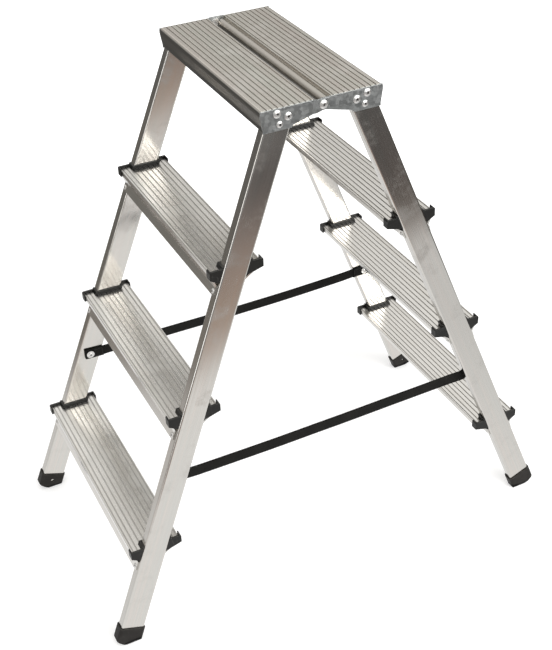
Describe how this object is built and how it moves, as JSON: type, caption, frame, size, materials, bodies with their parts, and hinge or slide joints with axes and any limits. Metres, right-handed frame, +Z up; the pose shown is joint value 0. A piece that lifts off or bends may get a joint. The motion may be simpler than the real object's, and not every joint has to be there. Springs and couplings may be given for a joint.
{
  "type": "folding double-sided step ladder",
  "caption": "Low folding aluminium ladder with grooved treads on both sides, a hinged two-part platform, black plastic feet and webbing straps that limit its spread.",
  "frame": {"origin": "on the floor, in the middle of the four feet", "axes": "+Z up, +X from the left frame to the right one, +Y from front to rear along the treads"},
  "size_m": [0.8276, 0.4466, 0.86],
  "materials": {
    "stile_metal": "drawn tube, lightly polished",
    "tread_metal": "extruded, grooved, matt",
    "plate_metal": "galvanised sheet",
    "rivet_metal": "bright",
    "black_plastic": "moulded, fine grain",
    "webbing": "woven webbing"
  },
  "bodies": {
    "left_frame": {"left_stile_front": "stile_metal", "left_plate_front": "plate_metal", "left_foot_front": "black_plastic", "left_cap_top_front": "black_plastic", "left_cap_middle_front": "black_plastic", "left_cap_bottom_front": "black_plastic", "left_stile_rear": "stile_metal", "left_plate_rear": "plate_metal", "left_foot_rear": "black_plastic", "left_cap_top_rear": "black_plastic", "left_cap_middle_rear": "black_plastic", "left_cap_bottom_rear": "black_plastic", "left_tread_top": "tread_metal", "left_tread_middle": "tread_metal", "left_tread_bottom": "tread_metal", "left_platform": "tread_metal", "left_plate_rivets": "rivet_metal", "left_tread_rivets": "rivet_metal", "left_strap_rivets": "rivet_metal", "left_strap_washers": "rivet_metal", "hinge_pin_front": "rivet_metal", "hinge_pin_rear": "rivet_metal", "strap_front": "webbing", "strap_rear": "webbing"},
    "right_frame": {"right_stile_front": "stile_metal", "right_plate_front": "plate_metal", "right_foot_front": "black_plastic", "right_cap_top_front": "black_plastic", "right_cap_middle_front": "black_plastic", "right_cap_bottom_front": "black_plastic", "right_stile_rear": "stile_metal", "right_plate_rear": "plate_metal", "right_foot_rear": "black_plastic", "right_cap_top_rear": "black_plastic", "right_cap_middle_rear": "black_plastic", "right_cap_bottom_rear": "black_plastic", "right_tread_top": "tread_metal", "right_tread_middle": "tread_metal", "right_tread_bottom": "tread_metal", "right_platform": "tread_metal", "right_plate_rivets": "rivet_metal", "right_tread_rivets": "rivet_metal", "right_strap_rivets": "rivet_metal", "right_strap_washers": "rivet_metal"}
  },
  "joints": [
    {"name": "fold", "type": "hinge", "parent": "left_frame", "child": "right_frame", "pos_m": [0, 0, 0.851], "axis": [0, 1, 0], "range_deg": [0, 44], "deforming": ["strap_front", "strap_rear"]}
  ]
}
